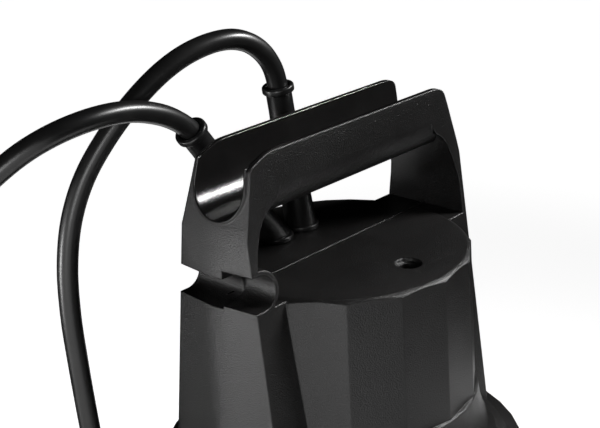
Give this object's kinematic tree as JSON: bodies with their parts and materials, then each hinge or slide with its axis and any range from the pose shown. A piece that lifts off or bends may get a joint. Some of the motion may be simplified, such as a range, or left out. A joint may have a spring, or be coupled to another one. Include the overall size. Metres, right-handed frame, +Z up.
{
  "type": "bilge pump",
  "caption": "Submersible bilge pump: faceted casing with open trough handle and cable clip, strainer base, side hose outlet, float switch on its own cable and coiled mains cable with plug.",
  "frame": {"origin": "on the motor axis, at the floor under the strainer base", "axes": "+Z up along the shaft, -X towards the outlet and the cable clip, -Y towards the near screw recess"},
  "size_m": [0.3523, 0.2083, 0.3106],
  "materials": {
    "casing": "moulded satin",
    "rubber": "matt",
    "steel": "zinc plated",
    "bright_steel": "ground",
    "alloy": "cast",
    "lamination": "stacked sheet",
    "winding": "varnished wire",
    "seal_face": "ceramic",
    "seal_spring": "carbon and rubber",
    "impeller_plastic": "glass filled",
    "capacitor_case": "smooth",
    "terminal_case": "smooth",
    "plug_case": "matt",
    "pin_metal": "nickel plated"
  },
  "bodies": {
    "pump": {"upper_casing": "casing", "top_screw_near": "steel", "top_screw_far": "steel", "power_cable_sleeve": "rubber", "float_cable_sleeve": "rubber", "cable_clamp": "casing", "power_cable_run": "rubber", "power_cable_coil": "rubber", "power_cable_tail": "rubber", "mains_plug": "plug_case", "plug_pin_left": "pin_metal", "plug_pin_right": "pin_metal", "float_cable_run": "rubber", "float_cable_grommet": "rubber", "float_shell_lower": "casing", "float_shell_upper": "casing", "float_microswitch": "seal_spring", "lower_casing": "casing", "casing_oring": "rubber", "flange_screw_1": "steel", "flange_screw_2": "steel", "flange_screw_3": "steel", "flange_screw_4": "steel", "suction_plate": "casing", "strainer_base": "casing", "strainer_screw_1": "steel", "strainer_screw_2": "steel", "strainer_screw_3": "steel", "seal_seat": "seal_face", "shaft_lip_seal": "rubber", "lower_bearing": "bright_steel", "upper_bearing": "bright_steel", "lower_bracket": "alloy", "upper_bracket": "alloy", "motor_can": "alloy", "stator_core": "lamination", "lower_winding": "winding", "upper_winding": "winding", "capacitor": "capacitor_case", "capacitor_clip": "steel", "terminal_block": "terminal_case", "outlet_gasket": "rubber", "outlet_union_nut": "casing", "hose_connector": "casing"},
    "rotor": {"shaft": "bright_steel", "rotor_core": "lamination", "impeller": "impeller_plastic", "impeller_nut": "steel", "seal_head": "seal_spring"},
    "ball": {"float_ball": "bright_steel"}
  },
  "joints": [
    {"name": "rotor_spin", "type": "hinge", "parent": "pump", "child": "rotor", "pos_m": [0, 0, 0.12], "axis": [0, 0, 1], "continuous": true},
    {"name": "float_ball_roll", "type": "slide", "parent": "pump", "child": "ball", "axis": [1, 0, 0], "range_m": [0, 0.03]}
  ]
}
